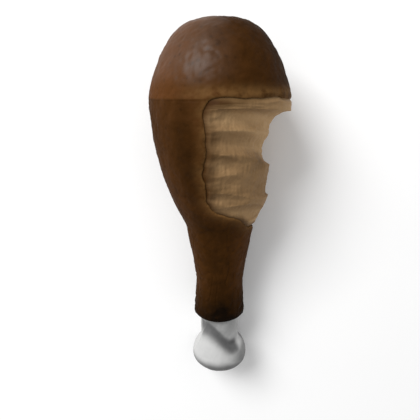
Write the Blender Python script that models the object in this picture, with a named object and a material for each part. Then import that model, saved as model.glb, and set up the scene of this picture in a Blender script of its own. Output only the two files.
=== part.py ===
"""A roasted chicken leg, lying on its back, with a bite out of its right side.

The leg has three solids: the browned skin, the meat that runs through it and shows at the bite,
and the leg bone, whose knob stands out of the thin end.

Places on the leg are given in leg coordinates. "Along" is the distance down the leg's axis from
the widest ring of the meat: negative over the thick end, positive towards the bone's knob.
"Angle" turns about that axis from the bitten side, which is +X, through the shown side, which is
up. A layer is known by its depth below the outside of the skin.

The axis slopes down towards the bone, so that the belly and the knob both rest on the floor, and
what would reach below the floor is pressed flat.
"""

import math
from typing import NamedTuple

import bmesh
import bpy
import numpy as np

MM = 0.001

# Sizes of the flesh, in metres
BELLY_RADIUS = 25.0 * MM
CROWN_HEIGHT = 26.5 * MM
CROWN_POWER = 1.18
CROWN_ROOT = 3.15
CALF_LENGTH = 57.0 * MM
CALF_POWER = 1.8
CALF_ROOT = 1.62
SHANK_START = 42.0 * MM
SHANK_END = 72.0 * MM
SHANK_RADIUS = 9.4 * MM
SHANK_TAPER = 3.45 * MM
SHANK_SOFTNESS = 1.3 * MM
CUFF_START = 70.0 * MM
CUFF_END = 84.0 * MM
CUFF_FLARE = 0.9 * MM

# Shares by which the muscles swell the round form, and the lengths over which they change
FLAT_SIDES = 0.010
THREE_LOBES = 0.008
LOBE_TWIST_LENGTH = 30.0 * MM
RIPPLES = 0.005
RIPPLE_LENGTH = 9.0 * MM

# Layers, as depths below the outside of the skin
SKIN_THICKNESS = 1.0 * MM
LAYER_GAP = 0.3 * MM
MEAT_DEPTH = SKIN_THICKNESS + LAYER_GAP
CUFF_ROUNDING = 0.6 * MM
CUFF_LIP = 0.4 * MM
MEAT_END = CUFF_END - 0.9 * MM

# The leg bone
SHAFT_RADIUS = 7.8 * MM
HIDDEN_SHAFT_RADIUS = 5.8 * MM
HIDDEN_TIP = -12.0 * MM
HIDDEN_TIP_LENGTH = 7.0 * MM
HIDDEN_SHAFT_END = 66.0 * MM
NECK_START = 86.5 * MM
KNOB_RADIUS = 11.3 * MM
KNOB_CENTRE = 103.6 * MM
KNOB_NECK_LENGTH = 10.5 * MM
KNOB_TIP_LENGTH = 6.6 * MM
NECK_RISE = 10.0 * MM
NECK_RISE_START = math.radians(50.0)
NECK_RISE_WIDTH = math.radians(80.0)
NECK_FALL_END = math.radians(165.0)
NECK_FALL_WIDTH = math.radians(30.0)
NECK_SOFTNESS = 0.5 * MM
KNUCKLE_GROOVE = 1.2 * MM
KNUCKLE_GROOVE_WIDTH = 3.2 * MM
KNUCKLE_GROOVE_TOP = 4.0 * MM

# How the leg rests
BELLY_CONTACT = 8.0 * MM
BELLY_FLAT_DEPTH = 1.6 * MM
KNOB_FLAT_DEPTH = 0.6 * MM

# The patch where the skin is gone
BARE_ANGLE = math.radians(24.0)
BARE_HALF_ANGLE = math.radians(79.0)
BARE_ALONG = 22.5 * MM
BARE_HALF_UPPER = 23.4 * MM
BARE_HALF_LOWER = 24.3 * MM
BARE_LOWER_LEAN = 0.30
BARE_CORNER_UPPER = 9.0
BARE_CORNER_LOWER = 6.0
BARE_RIM = 0.15
BARE_SWELL = 1.1 * MM
TEAR_WAVES = ((5, 0.022, 0.4), (9, 0.014, 2.1), (14, 0.008, 1.0))


class Furrow(NamedTuple):
    """A scoop that the teeth left: a valley across the bite that tapers round the leg."""

    row: float
    middle: float
    half_length: float
    to_front: float
    to_back: float
    depth: float


# Row, half length and depth in millimetres, angles in degrees. A row is a line round the leg that
# follows the furrows. It is named by its station at the bitten side, and lies further up the leg
# at the shown side.
FURROWS = (
    Furrow(10.3, 0.0, 6.2, 114.0, 62.0, 6.8),
    Furrow(17.1, 0.0, 6.8, 111.0, 60.0, 7.9),
    Furrow(21.5, 15.0, 11.4, 75.0, 70.0, 3.5),
    Furrow(24.6, 100.0, 3.7, 60.0, 62.0, 2.6),
    Furrow(29.6, 25.0, 5.2, 85.0, 75.0, 2.4),
    Furrow(35.8, 98.0, 2.9, 60.0, 40.0, 1.7),
    Furrow(40.2, 62.0, 3.4, 50.0, 50.0, 1.5),
)
ROWS_START = -1.0 * MM
ROWS_END = 50.0 * MM
ROWS_EASE = 10.0 * MM
ROW_LEAN = 0.13
ROW_CLIMB_UPPER = 0.08
ROW_CLIMB_LOWER = 0.05
ROW_CLIMB_CHANGE = (22.0 * MM, 30.0 * MM)

# The cutter for the bare patch reaches from near the axis to outside the leg.
CUTTER_INSIDE = 9.0 * MM
CUTTER_OUTSIDE = 34.0 * MM

# Fineness of the solids
SKIN_COLUMNS = 42
SKIN_CROWN_RINGS = 9
SKIN_CALF_RINGS = 24
LINING_CALF_RINGS = 20
MEAT_COLUMNS = 58
MEAT_BARE_COLUMNS = 38
MEAT_CROWN_RINGS = 7
MEAT_BARE_RINGS = 40
MEAT_SHANK_RINGS = 9
BONE_COLUMNS = 24
HIDDEN_TIP_RINGS = 5
SHAFT_RINGS = 4
NECK_RINGS = 11
KNOB_TIP_RINGS = 5
CUTTER_COLUMNS = 72
CUTTER_RINGS = 5

# Least heights above the ground for a surface that rests on it, and for one that nothing holds up
GROUND = 0.0
NO_GROUND = -1.0


def smooth_step(value):
    """Rises from 0 to 1 as value goes from 0 to 1, level at both ends."""
    share = np.clip(value, 0.0, 1.0)
    return share * share * (3.0 - 2.0 * share)


def flesh_profile(along, depth):
    """Radius of the round form at a station, for the layer that lies depth below the outside.

    Crown and calf are superellipses. The calf runs into a shank that tapers and flares again at
    the cuff. Where they meet, it is the mean of both plus the root of their squared distance.
    """
    crown = np.clip(-along / (CROWN_HEIGHT - depth), 0.0, 1.0)
    crown_radius = (BELLY_RADIUS - depth) * (1.0 - crown**CROWN_POWER) ** (1.0 / CROWN_ROOT)
    share = np.clip(along / CALF_LENGTH, 0.0, 1.0)
    calf = BELLY_RADIUS * (1.0 - share**CALF_POWER) ** (1.0 / CALF_ROOT)
    taper = 1.0 - smooth_step((along - SHANK_START) / (SHANK_END - SHANK_START))
    flare = smooth_step((along - CUFF_START) / (CUFF_END - CUFF_START))
    shank = SHANK_RADIUS + SHANK_TAPER * taper + CUFF_FLARE * flare
    lower_radius = (calf + shank + np.sqrt((calf - shank) ** 2 + SHANK_SOFTNESS**2)) / 2 - depth
    return np.where(along < 0.0, crown_radius, lower_radius)


def muscle_lobes(along, angle):
    """Share by which the muscles swell or narrow the round form."""
    flat = FLAT_SIDES * np.cos(2.0 * angle + 0.5)
    lobes = THREE_LOBES * np.cos(3.0 * angle - 1.2 + along / LOBE_TWIST_LENGTH)
    return flat + lobes + RIPPLES * np.sin(along / RIPPLE_LENGTH + 2.0 * np.cos(angle))


def flesh_radius(along, angle, depth=0.0):
    """Radius of a layer of the unbitten leg."""
    return flesh_profile(along, depth) * (1.0 + muscle_lobes(along, angle))


def tear_wave(turn):
    """Share by which the torn edge of the skin strays, for a turn about the bare patch."""
    return sum(size * np.sin(count * turn + phase) for count, size, phase in TEAR_WAVES)


def bare_half_length(angle, lower):
    """Half length of the bare patch: its lower edge rises towards the shown side."""
    lean = 1.0 - BARE_LOWER_LEAN * np.maximum(0.0, np.sin(angle)) ** 2
    return np.where(lower, BARE_HALF_LOWER * lean, BARE_HALF_UPPER)


def bareness(along, angle):
    """Where a place lies in the bare patch: 0 at its middle, 1 on the torn edge, more outside."""
    across = (angle - BARE_ANGLE) / BARE_HALF_ANGLE
    lower = along > BARE_ALONG
    down = (along - BARE_ALONG) / bare_half_length(angle, lower)
    corner = np.where(lower, BARE_CORNER_LOWER, BARE_CORNER_UPPER)
    reach = (np.abs(across) ** corner + np.abs(down) ** corner) ** (1.0 / corner)
    return reach / (1.0 + tear_wave(np.arctan2(down, across)))


def row_station(row, angle):
    """Station of a row at an angle: rows lie in leaning planes, and climb towards the shown side."""
    first, last = ROW_CLIMB_CHANGE
    climb = ROW_CLIMB_UPPER
    climb = climb + (ROW_CLIMB_LOWER - ROW_CLIMB_UPPER) * smooth_step((row - first) / (last - first))
    rise = ROW_LEAN * np.sin(angle) + climb * np.maximum(0.0, np.sin(angle)) ** 3
    ease = smooth_step((row - ROWS_START) / ROWS_EASE) * smooth_step((ROWS_END - row) / ROWS_EASE)
    return row - rise * ease * flesh_profile(row, 0.0)


def furrow_depth(furrow, row, angle):
    """Depth of one furrow: round in section, and both shallower and narrower towards its ends."""
    down = (row - furrow.row * MM) / (furrow.half_length * MM)
    turned = np.degrees(angle) - furrow.middle
    across = turned / np.where(turned > 0.0, furrow.to_front, furrow.to_back)
    taper = np.clip(1.0 - across**2, 0.0, 1.0)
    return furrow.depth * MM * np.sqrt(taper * np.clip(taper - down**2, 0.0, 1.0))


def bite_depth(row, angle):
    """How deep the teeth went: the deepest furrow at each place counts."""
    return np.maximum.reduce([furrow_depth(furrow, row, angle) for furrow in FURROWS])


def meat_points(row, angle):
    """The meat's outside: it swells a little where it is bare, and has the bite's furrows."""
    along = row_station(row, angle)
    bare = smooth_step((1.0 - bareness(along, angle)) / BARE_RIM)
    radius = flesh_radius(along, angle, MEAT_DEPTH) + bare * (BARE_SWELL - bite_depth(row, angle))
    return leg_points(along, angle, radius, MEAT_DEPTH)


def neck_length(angle):
    """Length of the knob's neck: it reaches further up the shaft on the left of the shown side."""
    turned = np.mod(angle, 2.0 * math.pi)
    rise = smooth_step((turned - NECK_RISE_START) / NECK_RISE_WIDTH)
    fall = smooth_step((NECK_FALL_END - turned) / NECK_FALL_WIDTH)
    return KNOB_NECK_LENGTH + NECK_RISE * rise * fall


def bone_radius(along, angle):
    """Radius of the bone past its hidden tip: a shaft that widens, and the knob.

    Neck and shaft flow into each other, as the mean of both plus the root of their squared
    distance.
    """
    widening = smooth_step((along - HIDDEN_SHAFT_END) / (CUFF_END - HIDDEN_SHAFT_END))
    shaft = HIDDEN_SHAFT_RADIUS + (SHAFT_RADIUS - HIDDEN_SHAFT_RADIUS) * widening
    before = (KNOB_CENTRE - along) / neck_length(angle)
    after = (along - KNOB_CENTRE) / KNOB_TIP_LENGTH
    knob = KNOB_RADIUS * np.sqrt(np.clip(1.0 - np.maximum(before, after) ** 2, 0.0, 1.0))
    blend = (shaft + knob + np.sqrt((shaft - knob) ** 2 + NECK_SOFTNESS**2)) / 2
    return np.where(along > KNOB_CENTRE, knob, np.where(along > CUFF_END, blend, shaft))


def rest_pose():
    """Slope of the leg's axis, and its height at the widest ring, for belly and knob to rest."""
    belly_height = float(flesh_profile(BELLY_CONTACT, 0.0)) - BELLY_FLAT_DEPTH
    knob_height = KNOB_RADIUS - KNOB_FLAT_DEPTH
    slope = math.asin((belly_height - knob_height) / (KNOB_CENTRE - BELLY_CONTACT))
    return slope, belly_height + BELLY_CONTACT * math.sin(slope)


SLOPE, AXIS_HEIGHT = rest_pose()


def leg_points(along, angle, radius, floor):
    """Points in the leg's own frame: X to the bitten side, Y up the leg, Z to the shown side.

    A point that would lie lower than floor above the ground is lifted straight up to it.
    """
    along, angle, radius = np.broadcast_arrays(along, angle, radius)
    points = np.stack([radius * np.cos(angle), -along, radius * np.sin(angle)], axis=-1)
    up = np.array([0.0, math.sin(SLOPE), math.cos(SLOPE)])
    short = np.maximum(0.0, floor - AXIS_HEIGHT - points @ up)
    return points + short[..., None] * up


def crown_stations(count, depth):
    """Stations from just below the crown's top to just above the widest ring."""
    turn = np.linspace(0.0, math.pi / 2, count + 2)[1:-1]
    return -(CROWN_HEIGHT - depth) * np.cos(turn) ** (2.0 / CROWN_POWER)


def even_columns(count):
    """Angles of evenly spaced columns, all the way round."""
    return np.arange(count) * 2.0 * math.pi / count


def meat_columns():
    """Angles of the meat's columns: close together across the bare patch, wider at the back."""
    first = BARE_ANGLE - BARE_HALF_ANGLE
    last = BARE_ANGLE + BARE_HALF_ANGLE
    bare = np.linspace(first, last, MEAT_BARE_COLUMNS)
    rest = np.linspace(last, first + 2.0 * math.pi, MEAT_COLUMNS - MEAT_BARE_COLUMNS + 2)[1:-1]
    return np.concatenate([bare, rest])


def principled(name, colour, roughness):
    """A plain material with one colour and roughness."""
    material = bpy.data.materials.new(name)
    material.use_nodes = True
    shader = material.node_tree.nodes["Principled BSDF"]
    shader.inputs["Base Color"].default_value = (*colour, 1.0)
    shader.inputs["Roughness"].default_value = roughness
    shader.inputs["Metallic"].default_value = 0.0
    material.diffuse_color = (*colour, 1.0)
    return material


def closed_grid(name, rings, material):
    """A solid from rings of points, where the first and last ring are single points, its poles."""
    mesh = bmesh.new()
    columns = len(rings[1])
    verts = [[mesh.verts.new(point) for point in ring] for ring in rings]
    for upper, lower in zip(verts, verts[1:]):
        for column in range(columns):
            after = (column + 1) % columns
            if len(upper) == 1:
                corners = (upper[0], lower[after], lower[column])
            elif len(lower) == 1:
                corners = (upper[column], upper[after], lower[0])
            else:
                corners = (upper[column], upper[after], lower[after], lower[column])
            mesh.faces.new(corners)
    bmesh.ops.triangulate(mesh, faces=[face for face in mesh.faces if len(face.verts) == 4])
    data = bpy.data.meshes.new(name)
    mesh.to_mesh(data)
    mesh.free()
    data.shade_smooth()
    data.materials.append(material)
    solid = bpy.data.objects.new(name, data)
    bpy.context.scene.collection.objects.link(solid)
    return solid


def flesh_rings(stations, columns, depth, floor):
    """Rings of one layer of the unbitten leg."""
    along = np.asarray(stations)[:, None]
    angle = columns[None, :]
    return list(leg_points(along, angle, flesh_radius(along, angle, depth), floor))


def bone_rings(stations, columns, gap):
    """Rings gap outside the bone, past its hidden tip."""
    along = np.asarray(stations)[:, None]
    angle = columns[None, :]
    return list(leg_points(along, angle, gap + bone_radius(along, angle), GROUND))


def axis_point(along):
    """A single point on the leg's axis, as a ring."""
    return list(leg_points(np.array([along]), 0.0, 0.0, GROUND))


def make_skin(material):
    """The skin: a thin shell over the crown and calf, open at the ankle, with the torn hole."""
    columns = even_columns(SKIN_COLUMNS)
    cuff = CUFF_END - CUFF_ROUNDING
    calf = np.linspace(0.0, cuff, SKIN_CALF_RINGS)
    outside = np.concatenate([crown_stations(SKIN_CROWN_RINGS, 0.0), calf])
    lining = np.linspace(0.0, cuff, LINING_CALF_RINGS)
    inside = np.concatenate([crown_stations(SKIN_CROWN_RINGS, SKIN_THICKNESS), lining])

    rings = [axis_point(-CROWN_HEIGHT)]
    rings += flesh_rings(outside, columns, 0.0, GROUND)
    rings += flesh_rings([CUFF_END], columns, (SKIN_THICKNESS - CUFF_LIP) / 2, GROUND)
    rings += flesh_rings([CUFF_END], columns, (SKIN_THICKNESS + CUFF_LIP) / 2, GROUND)
    rings += flesh_rings(inside[::-1], columns, SKIN_THICKNESS, SKIN_THICKNESS)
    rings.append(axis_point(SKIN_THICKNESS - CROWN_HEIGHT))
    return closed_grid("skin", rings, material)


def make_tear_cutter(material):
    """A pillow that fills the bare patch from near the axis out, to cut the hole in the skin."""
    turns = even_columns(CUTTER_COLUMNS)
    lower = np.sin(turns) > 0.0
    corner = np.where(lower, BARE_CORNER_LOWER, BARE_CORNER_UPPER)
    reach = (np.abs(np.cos(turns)) ** corner + np.abs(np.sin(turns)) ** corner) ** (-1.0 / corner)
    reach = reach * (1.0 + tear_wave(turns))
    shares = np.linspace(0.0, 1.0, CUTTER_RINGS + 1)

    def ring(share, radius):
        angle = BARE_ANGLE + BARE_HALF_ANGLE * share * reach * np.cos(turns)
        half = bare_half_length(angle, lower)
        along = BARE_ALONG + half * share * reach * np.sin(turns)
        points = leg_points(along, angle, radius, NO_GROUND)
        return list(points if share > 0.0 else points[:1])

    rings = [ring(share, CUTTER_INSIDE) for share in shares]
    rings += [ring(share, CUTTER_OUTSIDE) for share in shares[::-1]]
    cutter = closed_grid("tear_cutter", rings, material)
    cutter.hide_render = True
    cutter.display_type = "WIRE"
    return cutter


def hidden_tip_rings(columns, gap):
    """Rings gap outside the bone's rounded hidden tip, from just off its pole."""
    rings = []
    for turn in np.linspace(0.0, math.pi / 2, HIDDEN_TIP_RINGS + 1)[1:]:
        along = HIDDEN_TIP + HIDDEN_TIP_LENGTH * (1.0 - math.cos(turn)) - gap * math.cos(turn)
        radius = (HIDDEN_SHAFT_RADIUS + gap) * math.sin(turn)
        rings.append(leg_points(along, columns, radius, GROUND))
    return rings


def hidden_shaft_stations():
    """Stations down the hidden shaft: few where it is straight, more where it widens."""
    straight = np.linspace(HIDDEN_TIP + HIDDEN_TIP_LENGTH, HIDDEN_SHAFT_END, SHAFT_RINGS)[1:]
    widening = np.linspace(HIDDEN_SHAFT_END, CUFF_END, SHAFT_RINGS + 1)[1:-1]
    return np.concatenate([straight, widening])


def make_meat(material):
    """The meat: the layer below the skin, with the bite's furrows and a blind bore for the bone."""
    columns = meat_columns()
    rows = np.concatenate([
        crown_stations(MEAT_CROWN_RINGS, MEAT_DEPTH),
        np.linspace(ROWS_START, ROWS_END, MEAT_BARE_RINGS),
        np.linspace(ROWS_END, MEAT_END, MEAT_SHANK_RINGS)[1:],
    ])
    bore = np.append(hidden_shaft_stations(), MEAT_END - CUFF_ROUNDING)

    rings = [axis_point(MEAT_DEPTH - CROWN_HEIGHT)]
    rings += list(meat_points(rows[:, None], columns[None, :]))
    rings += bone_rings(bore[::-1], columns, LAYER_GAP)
    rings += hidden_tip_rings(columns, LAYER_GAP)[::-1]
    rings.append(axis_point(HIDDEN_TIP - LAYER_GAP))
    return closed_grid("meat", rings, material)


def hollow_knuckle(points):
    """Moves points of the knob's end up the leg, for the groove between its two knuckles."""
    end = smooth_step((-points[:, 1] - KNOB_CENTRE) / KNOB_TIP_LENGTH)
    below = smooth_step((KNUCKLE_GROOVE_TOP - points[:, 2]) / (2.0 * KNUCKLE_GROOVE_TOP))
    across = np.exp(-((points[:, 0] / KNUCKLE_GROOVE_WIDTH) ** 2))
    hollowed = points.copy()
    hollowed[:, 1] += KNUCKLE_GROOVE * end * below * across
    return hollowed


def make_bone(material):
    """The leg bone: hidden in the meat for most of its length, with its knob in the open."""
    columns = even_columns(BONE_COLUMNS)
    neck = np.linspace(NECK_START, KNOB_CENTRE, NECK_RINGS)
    turn = np.linspace(0.0, math.pi / 2, KNOB_TIP_RINGS + 2)[1:-1]
    cap = KNOB_CENTRE + KNOB_TIP_LENGTH * np.sin(turn)
    stations = np.concatenate([hidden_shaft_stations(), [CUFF_END], neck, cap])
    rings = [axis_point(HIDDEN_TIP)]
    rings += hidden_tip_rings(columns, 0.0)
    rings += bone_rings(stations, columns, 0.0)
    rings.append(axis_point(KNOB_CENTRE + KNOB_TIP_LENGTH))
    return closed_grid("bone", [hollow_knuckle(np.array(ring)) for ring in rings], material)


def main():
    for obj in list(bpy.data.objects):
        bpy.data.objects.remove(obj)

    browned = principled("browned_skin", (0.090, 0.036, 0.014), 0.38)
    cooked = principled("cooked_meat", (0.216, 0.127, 0.062), 0.55)
    bony = principled("clean_bone", (0.680, 0.670, 0.630), 0.50)

    skin = make_skin(browned)
    cutter = make_tear_cutter(browned)
    hole = skin.modifiers.new("torn_hole", "BOOLEAN")
    hole.operation = "DIFFERENCE"
    hole.solver = "EXACT"
    hole.object = cutter

    # The origin lies on the floor, under the middle of the whole leg.
    axis = bpy.data.objects.new("leg_axis", None)
    bpy.context.scene.collection.objects.link(axis)
    middle = (KNOB_CENTRE + KNOB_TIP_LENGTH - CROWN_HEIGHT) / 2
    axis.location = (0.0, middle * math.cos(SLOPE), AXIS_HEIGHT)
    axis.rotation_euler = (SLOPE, 0.0, 0.0)
    for piece in (skin, cutter, make_meat(cooked), make_bone(bony)):
        piece.parent = axis


main()
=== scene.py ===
"""The look of a roasted chicken leg that lies on its back with a bite out of its side.

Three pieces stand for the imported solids: the browned skin, the meat that shows where the skin is
torn away, and the leg bone. Each is a fine surface over the same form as its solid.

Places on the leg are given in leg coordinates. "Along" is the distance down the leg's axis from
the widest ring: negative over the crown, positive towards the bone's knob. "Angle" turns about
that axis from the bitten side, +X, through the shown side, which is up. Local points have X to
the bitten side, Y up the leg and Z to the shown side, and the whole form is then laid down.
"""

import logging
import math
from dataclasses import dataclass
from enum import Enum

import bpy
import numpy as np
from mathutils import Matrix, Vector


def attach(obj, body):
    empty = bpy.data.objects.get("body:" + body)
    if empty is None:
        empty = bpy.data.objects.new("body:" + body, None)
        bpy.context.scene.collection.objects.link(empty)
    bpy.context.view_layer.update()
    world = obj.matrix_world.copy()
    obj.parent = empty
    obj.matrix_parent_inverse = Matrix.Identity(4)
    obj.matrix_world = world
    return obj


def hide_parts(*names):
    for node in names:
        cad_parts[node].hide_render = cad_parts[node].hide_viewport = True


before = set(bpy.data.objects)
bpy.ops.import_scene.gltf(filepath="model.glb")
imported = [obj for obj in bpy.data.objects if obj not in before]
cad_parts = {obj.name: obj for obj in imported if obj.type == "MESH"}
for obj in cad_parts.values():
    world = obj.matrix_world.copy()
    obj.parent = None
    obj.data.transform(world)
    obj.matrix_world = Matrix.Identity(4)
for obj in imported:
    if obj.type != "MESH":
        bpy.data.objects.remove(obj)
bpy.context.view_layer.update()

MM = 0.001
TURN = 2.0 * math.pi
# Keeps a divisor off 0.
TINY = 1e-9
# Least share of an edge that a cut leaves at either end.
CUT_MARGIN = 0.06
# Where a lattice with both poles has the upper one. The lower one is its last vertex.
TOP_POLE = -2
IMAGE_SIDE = 420
BODY = "root"
LOG = logging.getLogger("chicken_leg")

Array = np.ndarray
Triple = tuple[float, float, float]
Colour = Triple


def smooth_step(value: Array) -> Array:
    """Eases from 0 to 1: 3 v^2 - 2 v^3 of a number from 0 to 1, and the rest are held."""
    share = np.clip(value, 0.0, 1.0)
    return share * share * (3.0 - 2.0 * share)


def bell(value: Array) -> Array:
    """A smooth hump: exp(-v^2), 1 at 0 and almost 0 past 2 either way."""
    return np.exp(-(value * value))


def rise(value: Array, start: float, length: float) -> Array:
    """Eases from 0 at the start to 1 one length further on."""
    return smooth_step((value - start) / length)


def fall(value: Array, end: float, length: float) -> Array:
    """Eases from 1 one length before the end to 0 at the end."""
    return smooth_step((end - value) / length)


def hump(value: Array, middle: float, width: float) -> Array:
    """A bell round the middle, with almost nothing left past two widths."""
    return bell((value - middle) / width)


def moved_in(points: Array, lengthwise: Array, depth: Array) -> Array:
    """Moves local points inwards, along (-x, lengthwise, -z) brought to length 1.

    Args:
        points: local points.
        lengthwise: the Y part of each point's way inwards.
        depth: how far each moves.

    Returns:
        The moved points.
    """
    inward = -points * np.array([1.0, 0.0, 1.0])
    inward[..., 1] = lengthwise
    length = np.maximum(np.linalg.norm(inward, axis=-1, keepdims=True), TINY)
    return points + inward / length * depth[..., None]


def linear(red: int, green: int, blue: int) -> Colour:
    """Turns a colour as it is seen on a screen, 0 to 255, into linear light.

    Args:
        red: the screen's red.
        green: the screen's green.
        blue: the screen's blue.

    Returns:
        The three shares of light.
    """
    shares = np.array([red, green, blue]) / 255.0
    low = shares / 12.92
    high = ((shares + 0.055) / 1.055) ** 2.4
    return tuple(float(share) for share in np.where(shares <= 0.04045, low, high))


@dataclass(frozen=True)
class Unevenness:
    """A smooth random field: the sum of plane waves with seeded directions and phases.

    Attributes:
        size: the usual wavelength, in metres.
        seed: what sets the waves.
        height: how high the waves are.
        stretch: how much longer the waves are along local X, Y and Z.
        count: how many waves are added.
    """

    size: float
    seed: int
    height: float = 1.0
    stretch: Triple = (1.0, 1.0, 1.0)
    count: int = 28

    def plain(self, points: Array) -> Array:
        """The field at local points, with a height of 1.

        Args:
            points: an array whose last axis is X, Y, Z.

        Returns:
            Numbers that spread about 0 by 1 or so: the sum of sin(k.p + phase), scaled.
        """
        rng = np.random.default_rng(self.seed)
        heading = rng.normal(size=(self.count, 3))
        heading /= np.linalg.norm(heading, axis=1, keepdims=True)
        pace = TURN / self.size * rng.uniform(0.6, 1.5, (self.count, 1))
        phase = rng.uniform(0.0, TURN, self.count)
        waves = heading * pace / np.array(self.stretch)
        return np.sin(points @ waves.T + phase).sum(axis=-1) / math.sqrt(self.count / 2)

    def at(self, points: Array) -> Array:
        """The field at local points, times its height."""
        return self.height * self.plain(points)

    def creases(self, points: Array, width: float) -> Array:
        """Thin lines where the field is 0: the height, times a bell of the field over the width."""
        return self.height * bell(self.plain(points) / width)


@dataclass(frozen=True)
class Spot:
    """A soft spot on the leg: a bell down the leg times a bell round it.

    Attributes:
        along: its middle down the leg, in millimetres.
        length: how far it reaches up and down, in millimetres.
        angle: its middle round the leg, in degrees.
        spread: how far it reaches round, in degrees.
        amount: its value in the middle.
    """

    along: float
    length: float
    angle: float
    spread: float
    amount: float

    def at(self, down: Array, degrees: Array) -> Array:
        """The spot's value, by millimetres down the leg and degrees round it."""
        return self.amount * hump(down, self.along, self.length) * hump(degrees, self.angle, self.spread)


@dataclass(frozen=True)
class LegForm:
    """The round form that skin and meat share, and the way that the leg lies.

    Attributes:
        belly_radius: radius of the widest ring.
        crown_height: from the widest ring to the top of the crown.
        crown_power: power of the stations in the crown's superellipse.
        crown_root: power of its radii.
        calf_length: from the widest ring to where the calf alone would end.
        calf_power: power of the stations in the calf's superellipse.
        calf_root: power of its radii.
        shank_start: station where the shank begins to taper.
        shank_end: station where it is thinnest.
        shank_radius: radius there.
        shank_taper: how much thicker it is where it starts.
        shank_softness: how softly calf and shank meet.
        cuff_start: station where the cuff begins to flare.
        cuff_end: station where the flesh ends at the ankle.
        cuff_flare: how much the cuff widens there.
        skin_thickness: thickness of the skin.
        meat_depth: how deep the meat lies under the outside of the skin.
        meat_end: station where the meat ends.
        belly_contact: station where the belly rests.
        belly_flat_depth: how far the belly is pressed in.
        knob_centre: station of the knob's widest ring.
        knob_radius: radius of the knob.
        knob_tip_length: from the knob's widest ring to its end.
        knob_flat_depth: how far the knob is pressed in.
        oval: share by which two sides are flatter.
        lobes: share by which the three muscles swell.
        lobe_twist: length over which the muscles turn by a radian.
        ripples: share by which the flesh ripples.
        ripple_length: length over which a ripple turns by a radian.
    """

    belly_radius: float = 25.0 * MM
    crown_height: float = 26.5 * MM
    crown_power: float = 1.18
    crown_root: float = 3.15
    calf_length: float = 57.0 * MM
    calf_power: float = 1.8
    calf_root: float = 1.62
    shank_start: float = 42.0 * MM
    shank_end: float = 72.0 * MM
    shank_radius: float = 9.4 * MM
    shank_taper: float = 3.45 * MM
    shank_softness: float = 1.3 * MM
    cuff_start: float = 70.0 * MM
    cuff_end: float = 84.0 * MM
    cuff_flare: float = 0.9 * MM
    skin_thickness: float = 1.0 * MM
    meat_depth: float = 1.3 * MM
    meat_end: float = 83.1 * MM
    belly_contact: float = 8.0 * MM
    belly_flat_depth: float = 1.6 * MM
    knob_centre: float = 103.6 * MM
    knob_radius: float = 11.3 * MM
    knob_tip_length: float = 6.6 * MM
    knob_flat_depth: float = 0.6 * MM
    oval: float = 0.010
    lobes: float = 0.008
    lobe_twist: float = 30.0 * MM
    ripples: float = 0.005
    ripple_length: float = 9.0 * MM

    def profile(self, along: Array, depth: float = 0.0) -> Array:
        """Radius of the round form.

        Crown and calf are superellipses. The calf runs into a shank that tapers and flares again
        at the cuff: half of c + s + root((c - s)^2 + softness^2) of calf c and shank s.

        Args:
            along: stations.
            depth: how deep the layer lies under the outside.

        Returns:
            The radius at each station.
        """
        crown = np.clip(-along / (self.crown_height - depth), 0.0, 1.0)
        dome = (1.0 - crown**self.crown_power) ** (1.0 / self.crown_root)
        share = np.clip(along / self.calf_length, 0.0, 1.0)
        calf = self.belly_radius * (1.0 - share**self.calf_power) ** (1.0 / self.calf_root)
        taper = 1.0 - rise(along, self.shank_start, self.shank_end - self.shank_start)
        flare = rise(along, self.cuff_start, self.cuff_end - self.cuff_start)
        shank = self.shank_radius + self.shank_taper * taper + self.cuff_flare * flare
        lower = (calf + shank + np.sqrt((calf - shank) ** 2 + self.shank_softness**2)) / 2 - depth
        return np.where(along < 0.0, (self.belly_radius - depth) * dome, lower)

    def radius(self, along: Array, angle: Array, depth: float = 0.0) -> Array:
        """Radius of a layer, with two waves round the leg, three that twist, and ripples.

        Args:
            along: stations.
            angle: angles, in radians.
            depth: how deep the layer lies under the outside.

        Returns:
            The radius at each place.
        """
        oval = self.oval * np.cos(2.0 * angle + 0.5)
        lobes = self.lobes * np.cos(3.0 * angle - 1.2 + along / self.lobe_twist)
        ripples = self.ripples * np.sin(along / self.ripple_length + 2.0 * np.cos(angle))
        return self.profile(along, depth) * (1.0 + oval + lobes + ripples)

    def points(self, along: Array, angle: Array, radius: Array) -> Array:
        """Local points, X, Y and Z on the last axis: (r cos a, -along, r sin a)."""
        along, angle, radius = np.broadcast_arrays(along, angle, radius)
        return np.stack([radius * np.cos(angle), -along, radius * np.sin(angle)], axis=-1)

    def sunk(self, points: Array, depth: Array) -> Array:
        """Moves local points inwards: to the widest ring's middle over the crown, else to the axis."""
        return moved_in(points, -np.maximum(points[..., 1], 0.0), depth)

    def laid(self, points: Array, ground: float) -> Array:
        """Lays local points down as the leg rests on belly and knob, and presses them flat.

        The axis slopes by the angle whose sine is the fall from belly to knob over the distance
        between them, and the origin is on the floor under the middle of the leg.

        Args:
            points: local points.
            ground: least height above the floor.

        Returns:
            Points in the row frame.
        """
        belly = float(self.profile(np.array(self.belly_contact))) - self.belly_flat_depth
        knob = self.knob_radius - self.knob_flat_depth
        slope = math.asin((belly - knob) / (self.knob_centre - self.belly_contact))
        height = belly + self.belly_contact * math.sin(slope)
        middle = (self.knob_centre + self.knob_tip_length - self.crown_height) / 2
        turn = np.array(Matrix.Rotation(slope, 3, "X"))
        world = points @ turn.T + np.array([0.0, middle * math.cos(slope), height])
        world[..., 2] = np.maximum(world[..., 2], ground)
        return world


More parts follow.
